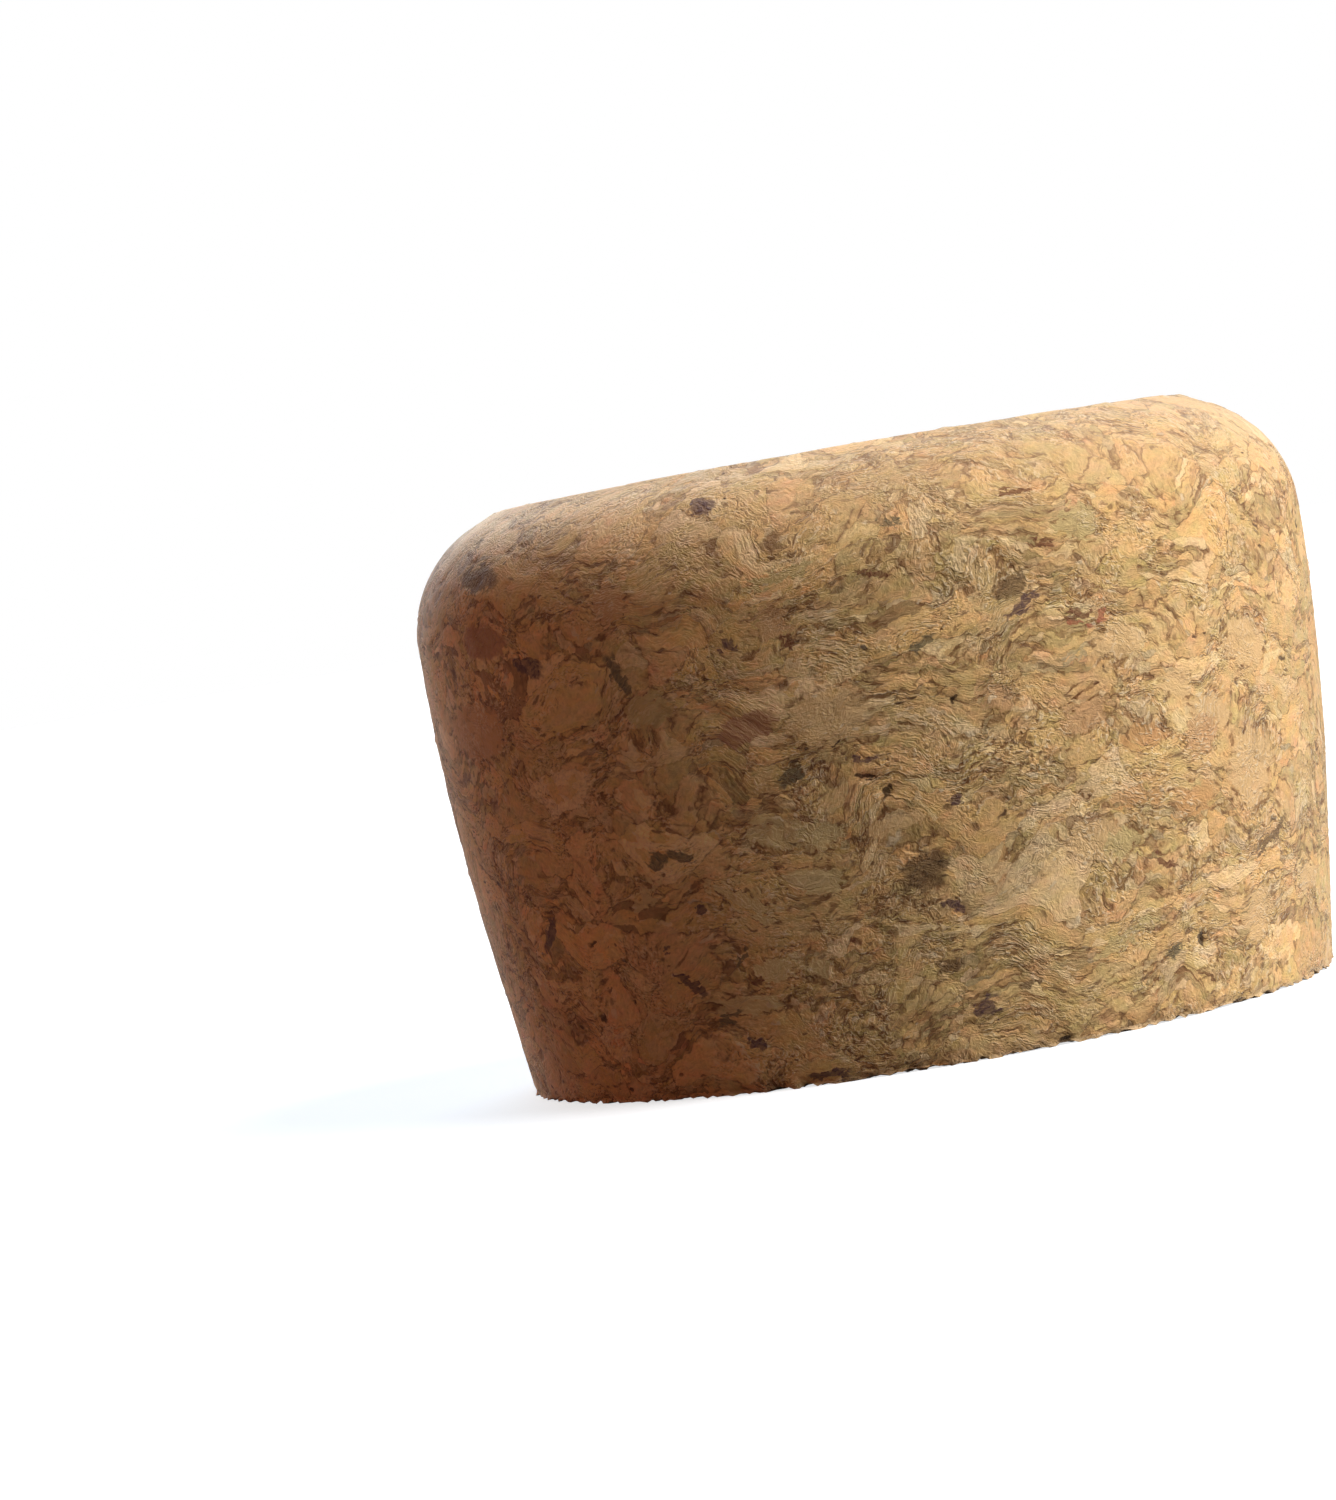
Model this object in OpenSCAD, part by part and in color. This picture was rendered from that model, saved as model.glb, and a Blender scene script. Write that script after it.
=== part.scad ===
// Tapered plug stopper of ground cork, pressed and turned in one piece.
// It stands on its narrow end: +Z runs up its axis, and the origin is the centre of that end's face.
// All sizes are in millimetres.

/* [Plug] */
// Widest diameter, where the rounded shoulder meets the side
top_d = 60; // [40:0.5:90]
// Height between the two flat faces
height = 39; // [30:0.5:60]

/* [Shoulder] */
// Radius of the rounded shoulder
shoulder_r = 8.3; // [5:0.1:11]
// How far the crease round the wide end's flat face lies inside the widest diameter
crease_inset = 6.5; // [5:0.1:12]
// Slope of the short ground bevel between the crease and the shoulder, in degrees
bevel_angle = 25; // [20:1:35]

/* [Side] */
// How far the side draws in from the widest diameter to the edge of the narrow end
taper_inset = 2.75; // [0.5:0.05:6]
// Height of the plain cone at the narrow end, under the bulged part of the side
cone_h = 11; // [3:0.5:18]

/* [Hidden] */

cork_color = [0.80, 0.61, 0.41];
turn_fn = 240;
shoulder_fn = 180;
bulge_fn = 1440;

// A straight edge ends this far inside the arc that it runs into, so that the two cross cleanly.
lap = 0.002;

top_r = top_d / 2;
bottom_r = top_r - taper_inset;
flat_r = top_r - crease_inset;

// The shoulder is an arc that stands upright at the widest diameter and ends where the bevel touches it.
shoulder_x = top_r - shoulder_r;
shoulder_z = micron(height - (shoulder_r + sin(bevel_angle) * (shoulder_x - flat_r)) / cos(bevel_angle));
bevel_end = [shoulder_x, shoulder_z] + (shoulder_r - lap) * [sin(bevel_angle), cos(bevel_angle)];

// The bulge is an arc that also stands upright at the widest diameter and runs into the cone with no edge.
bulge_h = shoulder_z - cone_h;
cone_angle = lean(0, 45, 40);
bulge_r = micron(bulge_h / sin(cone_angle));
cone_top_r = bottom_r + cone_h * tan(cone_angle) - lap;

// A size rounded to a whole micron, for points that two sections share.
function micron(size) = round(1000 * size) / 1000;

// How far the side draws in, from the widest diameter to the narrow end, when the cone leans by angle a.
function draw_in(a) = bulge_h * tan(a / 2) + cone_h * tan(a);

// The cone's lean at which the side draws in by taper_inset, found by halving.
function lean(low, high, steps) =
    let (middle = (low + high) / 2)
    steps == 0 ? middle
    : draw_in(middle) < taper_inset ? lean(middle, high, steps - 1)
    : lean(low, middle, steps - 1);

// Plain cone at the narrow end, up to where it touches the bulge.
module cone_section() {
    polygon([[0, 0], [bottom_r, 0], [cone_top_r, cone_h], [0, cone_h]]);
}

// Bulged part of the side, a slice of one large circle.
module bulge_section() {
    intersection() {
        translate([top_r - bulge_r, shoulder_z])
            circle(r = bulge_r, $fn = bulge_fn);
        square([2 * top_r, shoulder_z]);
    }
}

// Rounded shoulder, a slice of a small circle above the widest diameter.
module shoulder_section() {
    intersection() {
        translate([shoulder_x, shoulder_z])
            circle(r = shoulder_r, $fn = shoulder_fn);
        translate([0, shoulder_z])
            square([2 * top_r, height - shoulder_z]);
    }
}

// Core inside the shoulder, closed by the bevel and the flat face at the wide end.
module crown_section() {
    polygon([
        [0, shoulder_z],
        [shoulder_x, shoulder_z],
        bevel_end,
        [flat_r, height],
        [0, height]
    ]);
}

module cork_stopper() {
    color(cork_color)
        rotate_extrude($fn = turn_fn)
            union() {
                cone_section();
                bulge_section();
                shoulder_section();
                crown_section();
            }
}

cork_stopper();
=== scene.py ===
import math
from types import SimpleNamespace

import bpy
from mathutils import Color, Matrix, Vector


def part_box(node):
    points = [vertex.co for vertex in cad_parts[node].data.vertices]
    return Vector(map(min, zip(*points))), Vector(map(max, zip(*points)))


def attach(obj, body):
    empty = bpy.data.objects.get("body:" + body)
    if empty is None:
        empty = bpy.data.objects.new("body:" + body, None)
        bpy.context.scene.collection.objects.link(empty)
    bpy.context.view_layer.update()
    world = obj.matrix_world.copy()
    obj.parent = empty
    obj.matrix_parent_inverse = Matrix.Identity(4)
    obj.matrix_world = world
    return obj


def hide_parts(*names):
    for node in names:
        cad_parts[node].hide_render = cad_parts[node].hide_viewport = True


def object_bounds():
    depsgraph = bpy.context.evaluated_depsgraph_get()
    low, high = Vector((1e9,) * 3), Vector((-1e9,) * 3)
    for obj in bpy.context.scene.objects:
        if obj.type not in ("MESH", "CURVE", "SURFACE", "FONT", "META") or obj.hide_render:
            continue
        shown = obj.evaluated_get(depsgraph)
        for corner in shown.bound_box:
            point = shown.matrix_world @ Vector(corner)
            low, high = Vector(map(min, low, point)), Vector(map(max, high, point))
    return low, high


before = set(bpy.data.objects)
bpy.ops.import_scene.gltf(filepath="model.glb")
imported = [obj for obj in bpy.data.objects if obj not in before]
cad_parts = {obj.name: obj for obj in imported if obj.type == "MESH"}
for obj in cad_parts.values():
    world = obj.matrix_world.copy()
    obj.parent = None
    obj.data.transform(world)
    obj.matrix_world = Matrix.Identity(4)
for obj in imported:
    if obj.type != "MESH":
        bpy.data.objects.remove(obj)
cad_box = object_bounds()
scene = bpy.context.scene
scene.view_settings.view_transform = "Standard"


# ---- Camera ----
# A macro lens stands close in front of the stopper, just below the level of its wide end.
# It is rolled, so that the stopper leans up to the right, and it aims at the stopper's left half.
middle = Vector((0, 0, cad_box[1].z / 2))
camera_distance = 0.305
camera_rise = math.radians(2.301)
camera_roll = math.radians(9.760)
aim = Vector((-0.014559, 0, 0.021275))
camera_place = middle + camera_distance * Vector((0, -math.cos(camera_rise), math.sin(camera_rise)))
forward = (aim - camera_place).normalized()
sideways = forward.cross(Vector((0, 0, 1))).normalized()
upright = sideways.cross(forward)
right = sideways * math.cos(camera_roll) - upright * math.sin(camera_roll)
up = sideways * math.sin(camera_roll) + upright * math.cos(camera_roll)
camera_turn = Matrix((right, up, -forward)).transposed().to_4x4()

bpy.ops.object.select_all(action="DESELECT")
bpy.ops.object.camera_add(location=camera_place)
camera = bpy.context.object
camera.name = "camera"
camera.matrix_world = Matrix.Translation(camera_place) @ camera_turn
camera.data.sensor_width = 36
camera.data.lens = 107.98
camera.data.clip_start = 0.05
camera.data.clip_end = 60
scene.camera = camera


# ---- Table and backdrop ----
# A plain pale sheet of paper that the stopper stands on, with the same white all round it.
# The camera sees it white, with the stopper's shadow on it. It throws only a little light back.
class Wire:
    """A node's socket, which can be added, scaled and mixed as a value can."""

    def __init__(self, tree, socket=None):
        self.tree = tree
        self.socket = socket

    def node(self, kind, settings=None, values=None, out=0):
        """Adds a node, with its settings first and then its sockets' values or links."""
        made = self.tree.nodes.new(kind)
        for name, value in (settings or {}).items():
            if name == "stops":
                stops = made.color_ramp.elements
                while len(stops) < len(value):
                    stops.new(1.0)
                for stop, (position, color) in zip(stops, value):
                    stop.position = position
                    stop.color = color
            else:
                setattr(made, name, value)
        for name, value in (values or {}).items():
            if isinstance(value, Wire):
                self.tree.links.new(value.socket, made.inputs[name])
            else:
                made.inputs[name].default_value = value
        return Wire(self.tree, made.outputs[out])

    def other(self, name):
        """Another output of the node that this one comes from."""
        return Wire(self.tree, self.socket.node.outputs[name])

    def parts(self):
        """The three numbers of a vector or colour."""
        first = self.node("ShaderNodeSeparateXYZ", None, {0: self})
        return first, first.other(1), first.other(2)

    def worked(self, operation, first, second=0.0):
        """One step of arithmetic, on vectors where either side is one."""
        if not has_vector(first, second):
            return self.node("ShaderNodeMath", {"operation": operation}, {0: first, 1: second})
        if not isinstance(first, (Wire, tuple)):
            first = (first, first, first)
        if not isinstance(second, (Wire, tuple)):
            second = (second, second, second)
        return self.node("ShaderNodeVectorMath", {"operation": operation}, {0: first, 1: second})

    def __add__(self, value):
        return self.worked("ADD", self, value)

    def __radd__(self, value):
        return self.worked("ADD", value, self)

    def __sub__(self, value):
        return self.worked("SUBTRACT", self, value)

    def __rsub__(self, value):
        return self.worked("SUBTRACT", value, self)

    def __mul__(self, value):
        return self.worked("MULTIPLY", self, value)

    def __rmul__(self, value):
        return self.worked("MULTIPLY", value, self)

    def __truediv__(self, value):
        return self.worked("DIVIDE", self, value)

    def __rtruediv__(self, value):
        return self.worked("DIVIDE", value, self)

    def least(self, value):
        """The smaller of two values."""
        return self.worked("MINIMUM", self, value)

    def most(self, value):
        """The larger of two values."""
        return self.worked("MAXIMUM", self, value)

    def dot(self, value):
        """The dot product of two vectors."""
        return self.node("ShaderNodeVectorMath", {"operation": "DOT_PRODUCT"}, {0: self, 1: value}, 1)

    def rise(self, low, high):
        """0 at low, 1 at high, and smooth between them. It falls where low is above high."""
        values = {"Value": self, "From Min": low, "From Max": high}
        return self.node("ShaderNodeMapRange", {"interpolation_type": "SMOOTHSTEP"}, values)

    def blend(self, first, second):
        """first where this is 0 and second where it is 1, as numbers or as colours."""
        if has_vector(first, second):
            return self.node("ShaderNodeMix", {"data_type": "RGBA"}, {0: self, 6: first, 7: second}, 2)
        return self.node("ShaderNodeMix", {"data_type": "FLOAT"}, {0: self, 2: first, 3: second})


def has_vector(*values):
    """Whether any of some values is a vector or a colour, and not one number."""
    for value in values:
        if isinstance(value, tuple):
            return True
        if isinstance(value, Wire) and value.socket.type in ("VECTOR", "RGBA"):
            return True
    return False


def ink(red, green, blue):
    """A colour written as 0 to 255, as a node wants it."""
    return (*Color((red / 255, green / 255, blue / 255)).from_srgb_to_scene_linear(), 1.0)


white = (1, 1, 1, 1)
paper_gray = (0.55, 0.55, 0.55, 1)
paper_glow = 0.72
bounce_gray = (0.08, 0.071, 0.064, 1)
room_warm = (1.0, 0.7, 0.5, 1)
room_strength = 0.04

bpy.ops.object.select_all(action="DESELECT")
bpy.ops.mesh.primitive_circle_add(vertices=96, radius=6.0, fill_type="NGON", location=(0, 0, 0))
table = bpy.context.object
table.name = "table"
table_paper = bpy.data.materials.new("table_paper")
table_paper.use_nodes = True
table_paper.node_tree.nodes.clear()
paper = Wire(table_paper.node_tree)
seen = paper.node("ShaderNodeLightPath").other("Is Camera Ray")
bounce = paper.node("ShaderNodeBsdfDiffuse", None, {"Color": bounce_gray})
shaded = paper.node("ShaderNodeBsdfDiffuse", None, {"Color": paper_gray})
glow = paper.node("ShaderNodeEmission", None, {"Color": white, "Strength": paper_glow})
paper_seen = paper.node("ShaderNodeAddShader", None, {0: shaded, 1: glow})
paper_shown = paper.node("ShaderNodeMixShader", None, {0: seen, 1: bounce, 2: paper_seen})
paper_out = table_paper.node_tree.nodes.new("ShaderNodeOutputMaterial")
table_paper.node_tree.links.new(paper_shown.socket, paper_out.inputs["Surface"])
table.data.materials.append(table_paper)

backdrop = bpy.data.worlds.new("backdrop")
backdrop.use_nodes = True
backdrop.node_tree.nodes.clear()
air = Wire(backdrop.node_tree)
ray = air.node("ShaderNodeLightPath")
mirrored = ray.other("Is Glossy Ray").most(ray.other("Is Transmission Ray"))
shown = ray.other("Is Camera Ray").most(mirrored)
room_light = air.node("ShaderNodeBackground", None, {"Color": room_warm, "Strength": room_strength})
white_light = air.node("ShaderNodeBackground", None, {"Color": white, "Strength": 1.0})
backdrop_shown = air.node("ShaderNodeMixShader", None, {0: shown, 1: room_light, 2: white_light})
air_out = backdrop.node_tree.nodes.new("ShaderNodeOutputWorld")
backdrop.node_tree.links.new(backdrop_shown.socket, air_out.inputs["Surface"])
scene.world = backdrop


# ---- Lamps ----
# A large soft lamp high on the right gives most of the light, which falls off to the left.
# A cool lamp lights the top and the back and a white one the edge between back and left.
# A weak red one fills the shade on the left.
def soft_lamp(name, turn, rise, strength, spread, color):
    """A lamp seen from the stopper at a turn from the camera to the right and a rise, in degrees."""
    turn = math.radians(turn)
    rise = math.radians(rise)
    toward = Vector((math.sin(turn) * math.cos(rise), -math.cos(turn) * math.cos(rise), math.sin(rise)))
    bpy.ops.object.select_all(action="DESELECT")
    bpy.ops.object.light_add(type="SUN", location=toward)
    lamp = bpy.context.object
    lamp.name = name
    lamp.rotation_euler = toward.to_track_quat("Z", "Y").to_euler()
    lamp.data.energy = strength
    lamp.data.angle = math.radians(spread)
    lamp.data.color = color


soft_lamp("key_lamp", 75, 38, 4.85, 50, (0.95, 0.965, 1.0))
soft_lamp("back_lamp", 180, 40, 2.5, 40, (0.48, 0.73, 1.0))
soft_lamp("rim_lamp", -155, 0, 2.7, 30, (1.0, 0.97, 0.95))
soft_lamp("left_lamp", -83, 0, 0.82, 25, (1.0, 0.355, 0.27))


# ---- Stopper ----
# A tapered plug pressed from ground cork and glue, then turned, with a rounded shoulder on its wide end.
# It is one piece with no core, so the same pressed grain runs right through it.
node_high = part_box("cork_stopper")[1]
top_r = node_high.x
height = node_high.z
taper_inset = 0.00275
crease_inset = 0.0065
shoulder_r = 0.0083
bevel_angle = math.radians(25)
cone_h = 0.011

bottom_r = top_r - taper_inset
flat_r = top_r - crease_inset
shoulder_x = top_r - shoulder_r
shoulder_z = height - (shoulder_r + math.sin(bevel_angle) * (shoulder_x - flat_r)) / math.cos(bevel_angle)
shoulder_turn = math.pi / 2 - bevel_angle
bevel_end_r = shoulder_x + shoulder_r * math.sin(bevel_angle)
bevel_end_z = shoulder_z + shoulder_r * math.cos(bevel_angle)

# The cone's lean is tried again until cone and bulge together draw in by taper_inset.
bulge_h = shoulder_z - cone_h
cone_angle = 0.1
for attempt in range(30):
    drawn_in = bulge_h * math.tan(cone_angle / 2) + cone_h * math.tan(cone_angle)
    cone_angle = cone_angle * taper_inset / drawn_in
bulge_r = bulge_h / math.sin(cone_angle)
cone_out = cone_h * math.tan(cone_angle)

# The faces of the side are about 0.4 mm wide and 0.3 mm high, to carry the relief of the chips.
turn_steps = 440
cone_steps = 38
bulge_steps = 62
shoulder_steps = 42
bevel_steps = 8
weld_distance = 0.00002
level_slack = 0.00001

# The section starts as one point on the narrow end's rim, and is drawn up to the crease.
bpy.ops.object.select_all(action="DESELECT")
bpy.ops.mesh.primitive_plane_add(size=0.002, location=(0, 0, 0))
stopper = bpy.context.object
stopper.name = "pressed_cork_plug"
stopper.data.name = "pressed_cork_plug"
bpy.ops.object.mode_set(mode="EDIT")
bpy.ops.mesh.select_mode(type="VERT")
bpy.ops.mesh.select_all(action="SELECT")
bpy.ops.mesh.merge(type="CENTER")
bpy.ops.transform.translate(value=(bottom_r, 0, 0))
for step in range(cone_steps):
    move = (cone_out / cone_steps, 0, cone_h / cone_steps)
    bpy.ops.mesh.extrude_region_move(TRANSFORM_OT_translate={"value": move})
bulge_center = (top_r - bulge_r, 0, shoulder_z)
bpy.ops.mesh.spin(steps=bulge_steps, angle=cone_angle, center=bulge_center, axis=(0, 1, 0))
shoulder_center = (shoulder_x, 0, shoulder_z)
bpy.ops.mesh.spin(steps=shoulder_steps, angle=shoulder_turn, center=shoulder_center, axis=(0, 1, 0))
for step in range(bevel_steps):
    move = ((flat_r - bevel_end_r) / bevel_steps, 0, (height - bevel_end_z) / bevel_steps)
    bpy.ops.mesh.extrude_region_move(TRANSFORM_OT_translate={"value": move})

# The section is turned round the axis, and its doubled start is welded.
bpy.ops.mesh.select_all(action="SELECT")
bpy.ops.mesh.spin(steps=turn_steps, angle=2 * math.pi, center=(0, 0, 0), axis=(0, 0, 1))
bpy.ops.mesh.select_all(action="SELECT")
bpy.ops.mesh.remove_doubles(threshold=weld_distance)


def select_rim(piece, level_z):
    """Selects the edges of the open rim at one level."""
    bpy.ops.mesh.select_mode(type="EDGE")
    bpy.ops.mesh.select_all(action="DESELECT")
    bpy.ops.object.mode_set(mode="OBJECT")
    points = piece.data.vertices
    for edge in piece.data.edges:
        edge.select = all(abs(points[index].co.z - level_z) < level_slack for index in edge.vertices)
    bpy.ops.object.mode_set(mode="EDIT")


# Each open end is filled with an even grid.
for level_z in (0, height):
    select_rim(stopper, level_z)
    bpy.ops.mesh.fill_grid(span=turn_steps // 4)
bpy.ops.mesh.select_all(action="SELECT")
bpy.ops.mesh.normals_make_consistent(inside=False)
bpy.ops.object.mode_set(mode="OBJECT")


# The grain is worked out in millimetres. The side is laid out flat, to place single chips on it.
wrap_r = 29.0
fold_level = 18
far_off = 9.0


def unrolled(spot):
    """The side laid out flat: the way round, the level and 1. The back is the front upside down."""
    x, y, z = spot.parts()
    way = spot.worked("ARCTANGENT", x / y) * -wrap_r
    level = fold_level - (z - fold_level) * spot.worked("SIGN", y)
    return spot.node("ShaderNodeCombineXYZ", None, {0: way, 1: level, 2: 1.0})


def chip_axes(flat, turn, level, length, tall, tilt):
    """How far along one chip and how far up it a spot is, from -1 to 1 at its ends."""
    place = Vector((wrap_r * math.radians(turn), level))
    tilt = math.radians(tilt)
    lengthwise = Vector((math.cos(tilt), math.sin(tilt)))
    upward = Vector((-math.sin(tilt), math.cos(tilt)))
    axes = []
    for axis, half in ((lengthwise, length / 2), (upward, tall / 2)):
        axes.append(flat.dot((axis.x / half, axis.y / half, -axis.dot(place) / half)))
    return axes


def chip_reach(flat, chip_places):
    """How far a spot is from the nearest of some chips, squared: 0 at its middle and 1 at its edge."""
    nearest = far_off
    for chip_place in chip_places:
        along, over = chip_axes(flat, *chip_place)
        nearest = (along * along + over * over).least(nearest)
    return nearest


# Pores that stand out: the turn from the front in degrees, and the level, length, height and tilt.
open_pores = [
    (-2.8, 18.7, 1.3, 0.3, -15),
    (-0.6, 17.6, 0.4, 0.9, -10),
    (9.3, 22.5, 0.7, 0.3, 40),
    (-5.7, 20.9, 0.7, 0.25, 40),
    (39, 4.7, 0.6, 0.9, -5),
    (17, 0.2, 1.1, 0.6, 0),
]

# Chips whose growth lines stand out: the place, as above, then how many lines it has,
# how far they bow and how strong they are.
lined_chips = [
    (11.6, 18.3, 5.0, 2.4, 25, 4, 0.3, 0.9),
    (8.8, 25.6, 3.7, 2.5, 40, 4, 0.0, 0.7),
    (-10.9, 18.5, 5.2, 3.1, 16, 5, 0.5, 0.7),
    (28.6, 3.3, 5.8, 2.0, 2, 4, -0.5, 0.7),
    (-37, 31.7, 3.7, 1.6, -7, 4, -0.6, 0.6),
    (-30, 34.6, 5.9, 1.7, -9, 5, 0.0, 0.5),
    (40, 16.9, 2.8, 2.4, 43, 5, 0.4, 0.7),
    (33, 15.9, 3.4, 1.6, -10, 4, -0.5, 0.6),
    (-1.6, 20.0, 3.5, 0.9, -42, 2, 0.3, 0.8),
    (-16, 25.5, 5.5, 2.4, 0, 5, -0.3, 0.5),
    (24.5, 21.1, 3.3, 1.7, 24, 3, 0.1, 1.1),
]


# How far apart the chips of each size and the specks lie, in the grain before it is pressed flat.
large_size = 4.6
medium_size = 2.4
crumb_size = 1.0
speck_size = 0.95


def cloud(place, size, detail, out=0):
    """Soft noise from 0 to 1 with lumps of one size, or three such numbers with out=1."""
    values = {"Vector": place, "Scale": 1 / size, "Detail": detail}
    return place.node("ShaderNodeTexNoise", None, values, out)


def cells(place, size, feature="F1"):
    """How far a spot is from the middle of the nearest cell (F1) or the next one (F2), in cells."""
    return place.node("ShaderNodeTexVoronoi", {"feature": feature}, {"Vector": place, "Scale": 1 / size})


def chips(pressed, size):
    """The random colour of the chips of one size, and how far a spot is from a chip's border."""
    nearest = cells(pressed, size)
    border = (cells(pressed, size, "F2") - nearest) * size * 0.6
    return nearest.other("Color"), border


def lay_chips(grain):
    """Large and medium chips and crumbs, which are curled, frayed and pressed flat."""
    spot = grain.spot
    # Noise of three sizes sways, curls and frays the grain, which is then pressed to half its height.
    swayed = spot + (cloud(spot, 7.5, 1.0, 1) - 0.5) * 6.5
    curled = swayed + (cloud(spot, 2.1, 1.0, 1) - 0.5) * 1.2
    jagged = (cloud(spot, 0.5, 2.0, 1) - 0.5) * 0.55
    pressed = (curled + jagged) * (1.0, 1.0, 2.0)

    # A place holds a large chip, or else a medium one, or else crumbs.
    large, large_edge = chips(pressed, large_size)
    medium, medium_edge = chips(pressed, medium_size)
    crumb, crumb_edge = chips(pressed, crumb_size)
    is_large = large.parts()[0].rise(0.58, 0.581)
    is_medium = medium.parts()[0].rise(0.46, 0.461)
    lesser = is_medium.blend(crumb, medium)
    lesser_edge = is_medium.blend(crumb_edge, medium_edge).least(medium_edge)
    grain.curled = curled
    grain.jagged = jagged
    grain.pressed = pressed
    grain.chip = is_large.blend(lesser, large)
    grain.edge = is_large.blend(lesser_edge, large_edge).least(large_edge)
    grain.shaken = spot.node("ShaderNodeTexWhiteNoise", None, {"Vector": grain.chip}, 1)
    grain.torn = jagged * (2.0, 2.0, 0.0) + (crumb - 0.5) * (0.9, 0.6, 0.0)

    # Some places are crowded with dust and lines, and others are clean.
    grain.crowd = cloud(swayed, 3.2, 2.0)
    grain.busy = grain.crowd.rise(0.41, 0.61)
    grain.grit = cloud(pressed, 0.3, 2.0)


def draw_growth_lines(grain):
    """Growth lines, which run across each chip in a direction of its own."""
    spot, curled, shaken = grain.spot, grain.curled, grain.shaken
    across = spot.worked("NORMALIZE", (shaken - 0.5) * (1.0, 1.0, 0.0) + (0.0, 0.0, 0.55))
    closeness = shaken.parts()[0] * 0.8 + 1.4
    run = curled * 0.35 + grain.jagged * 0.5 + across * (curled.dot(across) * closeness)
    wave = (cloud(run, 1.0, 1.0) - 0.52) * 8.0
    broken = cloud(grain.pressed, 1.0, 2.0).rise(0.42, 0.6)
    strong = (0.06 + shaken.parts()[1].rise(0.3, 0.85) * 0.64) * (0.1 + broken * 0.9)

    # Some listed chips have bowed lines of their own instead.
    swept = grain.flat + grain.torn * 0.35
    for *chip_place, count, bow, depth in lined_chips:
        along, over = chip_axes(swept, *chip_place)
        mask = (along * along + over * over).rise(1.3, 0.65) * grain.shell
        own = spot.worked("SINE", (over - along * along * bow) * (count * math.pi)) * 1.3
        wave = mask.blend(wave, own)
        strong = mask.blend(strong, (0.5 + broken * 0.6) * depth)
    grain.wave = wave * strong
    grain.lines = wave.rise(0.4, 1.1) * strong


def strew_dust(grain):
    """Creases, smudges of bark dust and painted shade along the borders of the chips, and loose specks of
    bark dust.
    """
    spot, pressed = grain.spot, grain.pressed
    fold = cloud(pressed * (1.0, 1.0, 1.3), 1.5, 2.0)
    crease = 1 - spot.worked("ABSOLUTE", fold - 0.5).rise(0.0, 0.03)
    grain.creases = crease * grain.busy
    grain.dust = cloud(pressed, 1.0, 3.0)
    grain.border = (1 - grain.edge.rise(0.0, 0.14)) * (0.14 + grain.dust.rise(0.42, 0.6) * 0.86)
    # Smudges darken the chips near their borders: partly bark dust, partly painted shade at the edges.
    grain.smudges = (1 - grain.edge.rise(0.05, 0.6)) * grain.dust.rise(0.54, 0.7)

    # Most specks are dark and some are pale crumbs with a painted glint. A few dark ones fell out and
    # left a pit.
    speck = cells(pressed, speck_size)
    kept, wide, sort = speck.other("Color").parts()
    near = 1 - (speck * speck_size / (wide * 0.25 + 0.15)).rise(0.5, 1.2)
    near = near * (kept + (grain.crowd - 0.5) * 1.2).rise(0.7, 0.73)
    is_glint = sort.rise(0.72, 0.74)
    is_pit = 1 - sort.rise(0.05, 0.06)
    grain.specks = near * (1 - is_glint)
    grain.glints = near * is_glint
    placed_pores = chip_reach(grain.flat + grain.torn * 0.4, open_pores).rise(1.3, 0.65) * grain.shell
    grain.pits = (near * is_pit * 0.7).most(placed_pores)


def cork_grain(spot):
    """The pressed grain at a spot: its chips, lines, borders, specks, pores and fine strokes."""
    grain = SimpleNamespace(spot=spot)
    off_axis = spot * (1.0, 1.0, 0.0)
    grain.outward = spot.node("ShaderNodeVectorMath", {"operation": "LENGTH"}, {0: off_axis}, 1)

    # Placed chips and pores keep to the outer shell, away from the middle of the two ends.
    grain.shell = grain.outward.rise(24.0, 25.0)
    grain.flat = unrolled(spot)
    lay_chips(grain)
    draw_growth_lines(grain)
    strew_dust(grain)

    # The turned face has short fine strokes that lean off the upright; their light and shade is painted.
    brushed = spot + spot.parts()[2] * (-0.45, 0.0, 0.0)
    grain.strokes = cloud(brushed * (1.0, 1.0, 0.6), 0.2, 2.0)
    return grain


# The turned face is not quite true: chips stand a little high or low, and pores and borders are open.
# How far each lifts or sinks the face is in millimetres.
relief = bpy.data.node_groups.new("turned_face", "GeometryNodeTree")
for in_out in ("INPUT", "OUTPUT"):
    relief.interface.new_socket(name="Geometry", in_out=in_out, socket_type="NodeSocketGeometry")
face = Wire(relief)
plain_mesh = face.node("NodeGroupInput")
plain_place = face.node("GeometryNodeInputPosition")
normal = face.node("GeometryNodeInputNormal")
spot = plain_place * 1000.0
grain = cork_grain(spot)
lift = (grain.chip.parts()[2] - 0.5) * 0.06
lift = lift - grain.border * 0.06 - grain.pits * 0.2 - grain.smudges * 0.04
lift = lift - grain.lines * 0.02 + grain.glints * 0.1

# The rim of the narrow end is torn, and nothing is pushed below the table.
rim_lump = 5 / 9
near_rim = 1 - spot.parts()[2].rise(0.0, 0.7)
lift = lift + (cloud(spot, rim_lump, 1.0) - 0.6) * near_rim * 1.2
turned_place = (plain_place + normal * (lift * 0.001)).most((-1.0, -1.0, 0.0))
moved = face.node("GeometryNodeSetPosition", None, {"Geometry": plain_mesh, "Position": turned_place})
relief_out = relief.nodes.new("NodeGroupOutput")
relief.links.new(moved.socket, relief_out.inputs[0])
turned_face = stopper.modifiers.new("turned_face", "NODES")
turned_face.node_group = relief
bpy.ops.object.select_all(action="DESELECT")
stopper.select_set(True)
bpy.context.view_layer.objects.active = stopper
bpy.ops.object.modifier_apply(modifier="turned_face")
bpy.ops.object.shade_smooth_by_angle(angle=math.radians(50))

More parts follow.
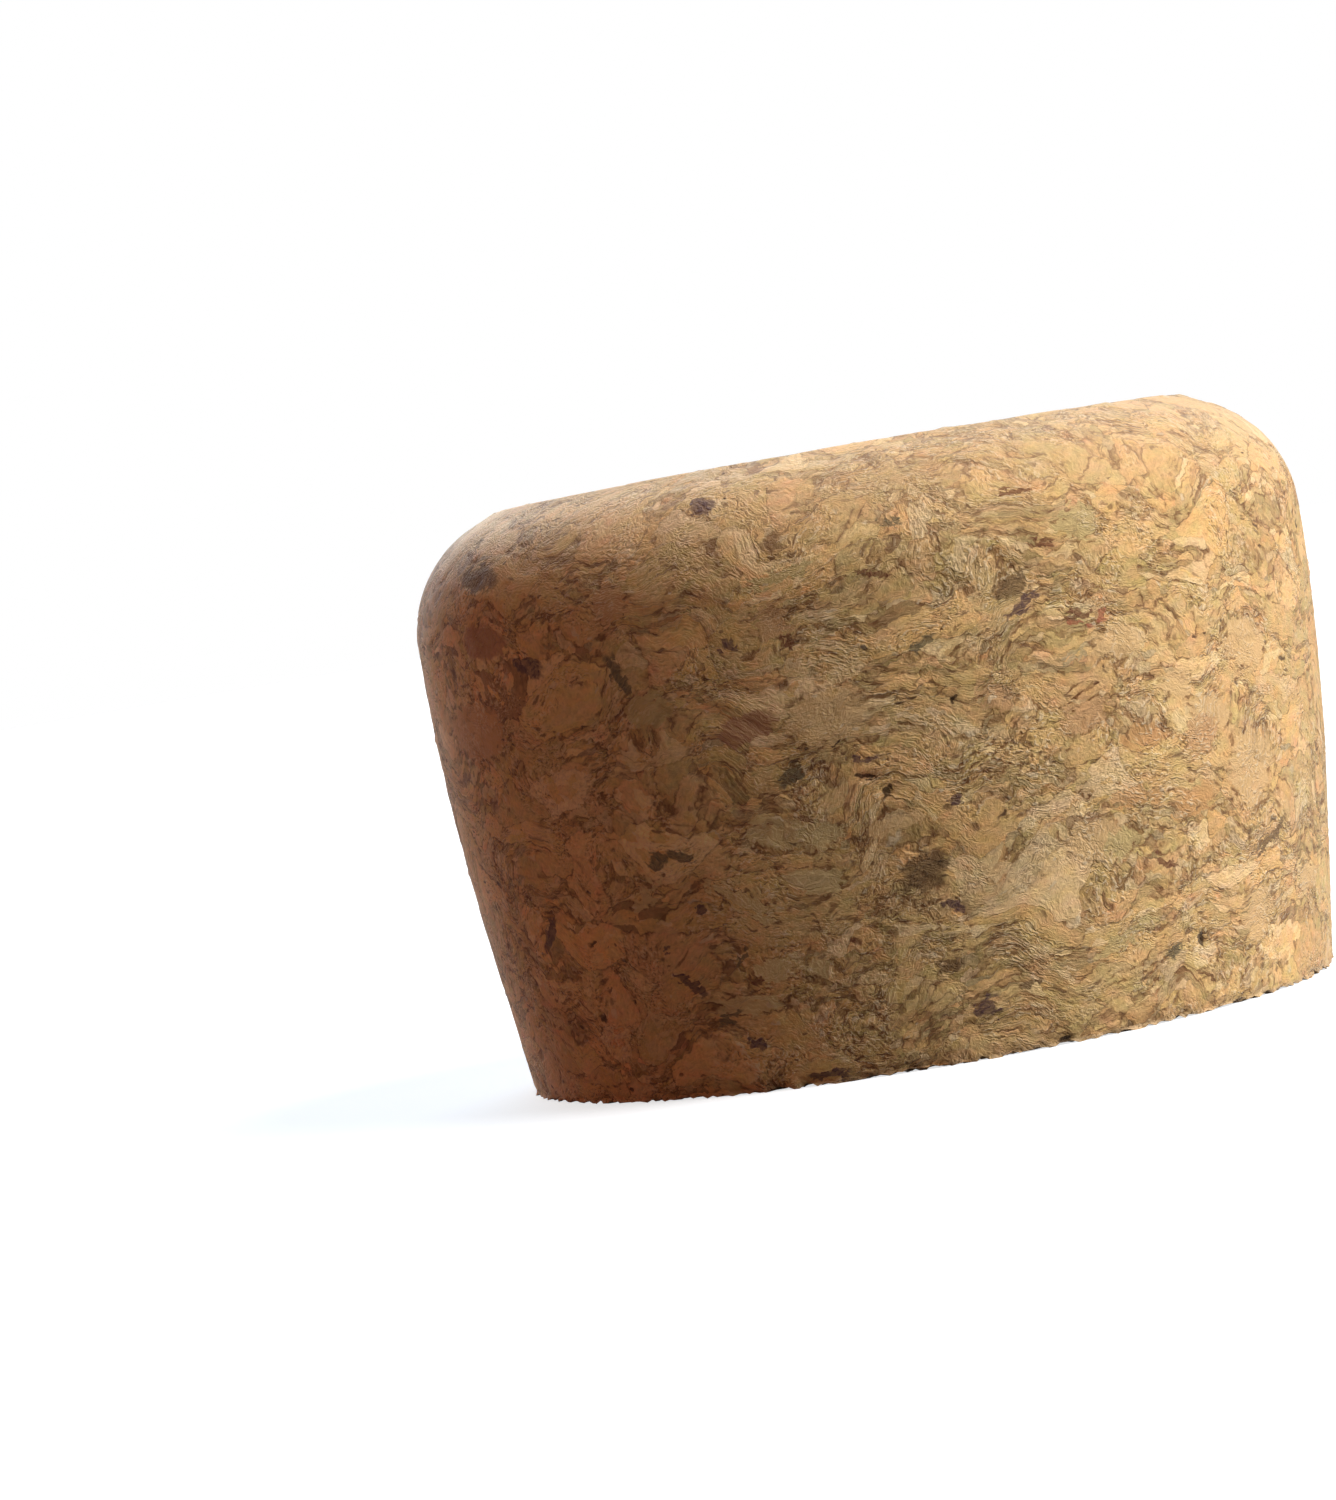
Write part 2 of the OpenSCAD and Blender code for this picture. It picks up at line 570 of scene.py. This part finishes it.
# Chips that stand out from the rest by their colour. Each has the numbers that a pore has.
cream = ink(232, 189, 132)
straw = ink(206, 179, 120)
wheat = ink(228, 199, 140)
amber = ink(216, 160, 102)
rose = ink(215, 164, 115)
pale_chips = [
    (cream, [
        (24, 12.4, 3.7, 2.5, -2),
        (51, 14.7, 4.6, 5.2, 0),
        (51, 5.3, 3.8, 3.0, 30),
        (66, 6.5, 4.0, 1.5, 0),
        (-6, 22.6, 5.0, 3.4, 10),
        (4, 9.5, 1.2, 0.6, -35),
        (-0.4, 15.6, 4.0, 1.0, 13),
        (31, 24.2, 4.2, 2.2, -5),
        (38.5, 20.9, 3.1, 1.9, 6),
        (44, 18.9, 3.5, 2.0, -29),
        (52.5, 22.6, 4.6, 3.2, -7),
    ]),
    (straw, [
        (-9.4, 31.6, 4.6, 0.7, 10),
        (28, 11.7, 2.2, 1.8, 37),
        (28, 31.9, 2.5, 2.3, -9),
        (27, 5.8, 5.0, 1.0, 25),
        (-28, 24.8, 3.2, 2.2, -8),
    ]),
    (wheat, [
        (-23.5, 5.6, 5.6, 1.4, -3),
        (-18.5, 7.6, 3.5, 1.5, 0),
        (-13, 7.4, 2.1, 1.0, -8),
        (-21, 12.2, 5.2, 0.9, -33),
        (-11, 12.8, 3.9, 1.3, -12),
        (-13, 15.8, 6.0, 2.0, -10),
        (-34.5, 13.2, 3.4, 1.1, 40),
    ]),
    (amber, [
        (30.5, 14.4, 3.7, 1.0, -3),
        (40, 13.4, 4.2, 1.8, 13),
        (33, 18.2, 3.1, 1.6, -9),
    ]),
    (rose, [
        (-10.6, 28.8, 2.5, 2.2, -9),
        (14, 22.2, 2.2, 1.5, -29),
        (25, 20.0, 3.3, 1.9, 22),
        (42, 17.5, 2.8, 2.4, 42),
        (-31, 31.8, 2.3, 2.5, -8),
        (-60, 24.9, 7.5, 3.9, -3),
    ]),
]
russet = ink(184, 134, 98)
bark = ink(128, 99, 66)
plum = ink(104, 76, 70)
moss = ink(116, 101, 74)
rust = ink(122, 76, 50)
brick = ink(180, 110, 78)
dark_chips = [
    (russet, [
        (-54, 30.6, 5.0, 2.3, -5),
        (-16, 22.8, 3.8, 1.8, 10),
    ]),
    (bark, [
        (2.2, 12.3, 3.4, 2.2, 26),
        (18, 28.6, 2.4, 1.5, 29),
        (3.3, 6.3, 1.7, 0.6, 0),
        (13.7, 4.2, 1.4, 0.6, 19),
        (-56, 34.7, 5.0, 1.6, -5),
        (54.5, 9.9, 5.2, 0.5, 28),
    ]),
    (plum, [
        (18.7, 27.3, 2.8, 0.6, 34),
        (-18.7, 36.6, 2.0, 1.1, -13),
        (7.5, 3.2, 1.6, 1.3, -20),
        (-14, 0.6, 2.8, 0.6, -3),
        (-54, 11.4, 3.4, 0.9, 44),
        (-2.4, 19.8, 1.5, 0.5, -4),
        (7.3, 16.3, 0.8, 0.7, -10),
        (-16.6, 28.1, 0.9, 0.9, -9),
        (5.2, 9.9, 1.3, 0.6, -25),
        (-46, 28.7, 3.0, 1.3, -20),
        (-31, 7.4, 2.3, 0.8, -38),
        (-26.5, 12.0, 0.8, 0.6, 0),
        (-33, 9.8, 0.9, 0.5, -20),
        (-23.5, 3.2, 1.1, 0.8, 0),
    ]),
    (moss, [
        (-31.5, 15.4, 1.5, 1.0, 2),
        (-28.3, 15.5, 2.1, 0.7, -16),
        (-31.3, 27.2, 0.9, 3.0, 25),
        (-12, 19.3, 1.9, 0.8, 30),
        (34.5, 4.4, 1.3, 0.9, 14),
        (5.1, 33.7, 1.5, 0.4, -14),
        (6, 26.1, 1.5, 0.5, 35),
        (-26, 5.0, 2.4, 0.5, 20),
        (-22.5, 8.6, 1.8, 0.4, 40),
    ]),
    (rust, [
        (25.7, 26.3, 1.8, 0.5, -9),
        (34.3, 10.1, 2.5, 0.4, -26),
        (1.6, 30.9, 2.8, 0.3, -7),
        (21, 34.4, 2.6, 0.3, 0),
        (22.7, 31.0, 2.1, 0.3, -6),
        (-9.4, 27.6, 0.6, 0.9, -29),
        (-21.5, 7.0, 1.3, 0.5, -25),
        (-7.5, 8.6, 1.1, 0.7, -10),
    ]),
    (brick, [
        (25.5, 25.7, 1.6, 0.5, -9),
        (29, 26.0, 0.6, 0.9, -9),
    ]),
]

tints = [
    (0.0, ink(194, 168, 112)),
    (0.3, ink(206, 171, 115)),
    (0.55, ink(214, 171, 116)),
    (0.8, ink(218, 168, 115)),
    (1.0, ink(224, 161, 111)),
]
bleached = ink(234, 203, 156)
bark_chip = ink(125, 88, 62)
line_brown = ink(128, 84, 48)
crease_brown = ink(138, 90, 50)
border_brown = ink(124, 82, 46)
smudge_and_edge_shade_brown = ink(118, 80, 50)
speck_brown = ink(104, 70, 46)
painted_glint_cream = ink(240, 214, 172)
painted_sheen_tan = ink(200, 162, 125)
fresh_rim_highlight_cream = ink(232, 194, 146)
pore_shade_dark = ink(54, 33, 22)

pressed_cork = bpy.data.materials.new("pressed_cork")
pressed_cork.use_nodes = True
cork = Wire(pressed_cork.node_tree)
cork_shader = pressed_cork.node_tree.nodes["Principled BSDF"]
spot = cork.node("ShaderNodeTexCoord").other("Object") * 1000.0
grain = cork_grain(spot)
chip_light, chip_tint, chip_lift = grain.chip.parts()
chip_bark, chip_grey, chip_bleach = grain.shaken.parts()
grit = grain.grit - 0.5
dust = grain.dust - 0.5
strokes = grain.strokes - 0.5

# Each chip has its own tint and lightness, and both drift within it and over the whole stopper.
seam_tint, seam_grey = cloud(spot * (1.0, 1.0, 1.6), 1.25, 1.0, 1).parts()[:2]
tint = 0.5 + (chip_tint - 0.5) * 0.4 + (seam_tint - 0.5) * 1.1
color = cork.node("ShaderNodeValToRGB", {"stops": tints}, {"Fac": tint})
bleach = chip_bleach.rise(0.75, 0.95)
color = (bleach * 0.5).blend(color, bleached)
drift_lump = 25 / 3
lightness = 0.74 + chip_light * 0.62 + (cloud(spot, drift_lump, 1.0) - 0.5) * 0.25 + dust * 0.4
# The fine strokes bring painted light and shade.
lightness = lightness + grit * (0.72 + grain.busy * 0.6) + strokes * 0.5
greyed = 0.95 + (chip_grey - 0.5) * 0.12 + (seam_grey - 0.5) * 0.36
color = color * lightness * cork.node("ShaderNodeCombineXYZ", None, {0: 1.0, 1: 1.0, 2: greyed})
color = (chip_bark.rise(0.99, 0.992) * 0.6).blend(color, bark_chip)

# The pale placed chips lie on top, with ragged outlines. They are calm: less is drawn on them.
pale_near = far_off
for chip_color, chip_places in pale_chips:
    near = chip_reach(grain.flat + grain.torn, chip_places)
    color = (near.rise(1.25, 0.75) * grain.shell * 0.75).blend(color, chip_color)
    pale_near = near.least(pale_near)
calm = (bleach * 0.7).most(pale_near.rise(1.25, 0.75) * grain.shell)
drawn = 1 - calm * 0.7

# Growth lines, creases, dusty borders, smudges, dark specks and painted glints are drawn over the chips.
color = (grain.lines * drawn).blend(color, line_brown)
color = (grain.creases * drawn * 0.35).blend(color, crease_brown)
# A dark outline round the pale placed chips: partly a dark joint, partly painted shade at their edges.
outline_and_edge_shade = pale_near.rise(0.9, 1.15) * pale_near.rise(1.7, 1.25) * grain.shell
border = (grain.border * drawn).most(outline_and_edge_shade * (0.1 + dust.rise(-0.08, 0.1) * 0.9))
color = (border * 0.75).blend(color, border_brown)
# Smudges: bark dust and painted shade near the chips' borders.
color = (grain.smudges * drawn * 0.45).blend(color, smudge_and_edge_shade_brown)
specks = grain.specks.most(grain.grit.rise(0.42, 0.32) * grain.busy * 0.75)
color = (specks * drawn * 0.7).blend(color, speck_brown)
# Painted glints: pale crumbs and the highest points of the grit are given a bright cream.
glints = (grain.glints * 0.6).most(grain.grit.rise(0.55, 0.65) * grain.busy * 0.6)
color = glints.blend(color, painted_glint_cream)

# A painted sheen makes the shoulder paler towards the top, and the rim of the narrow end is freshly
# broken.
level = spot.parts()[2]
color = (level.rise(30.0, 37.0) * 0.34).blend(color, painted_sheen_tan)
# The pale band at the rim is partly fresh cork and partly a painted highlight where light catches the
# edge.
fresh_and_lit_rim = level.rise(0.4, 0.15) * grain.outward.rise(26.6, 27.0) * grain.grit.rise(0.4, 0.5)
color = (fresh_and_lit_rim * 0.9).blend(color, fresh_rim_highlight_cream)

# The dark placed chips come last, and then the pores, darkened with painted shade in their holes.
dusty = grain.grit * 1.2 + 0.2
for chip_color, chip_places in dark_chips:
    near = chip_reach(grain.flat + grain.torn * 0.7, chip_places)
    color = (near.rise(1.3, 0.7) * grain.shell * dusty).blend(color, chip_color)
# Painted shade in the holes of the pores.
color = (grain.pits * 0.85).blend(color, pore_shade_dark)

raised = grit * (0.06 + grain.busy * 0.06) - grain.wave * 0.012 + (chip_lift - 0.5) * 0.08
bump = cork.node("ShaderNodeBump", None, {"Height": raised * 0.001, "Strength": 1.0, "Distance": 1.0})
cork.tree.links.new(color.socket, cork_shader.inputs["Base Color"])
cork.tree.links.new(bump.socket, cork_shader.inputs["Normal"])
cork_shader.inputs["Roughness"].default_value = 0.85
cork_shader.inputs["Specular IOR Level"].default_value = 0.12
cork_shader.inputs["Sheen Weight"].default_value = 0.25
cork_shader.inputs["Sheen Roughness"].default_value = 0.45
stopper.data.materials.append(pressed_cork)

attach(stopper, "root")
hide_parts("cork_stopper")
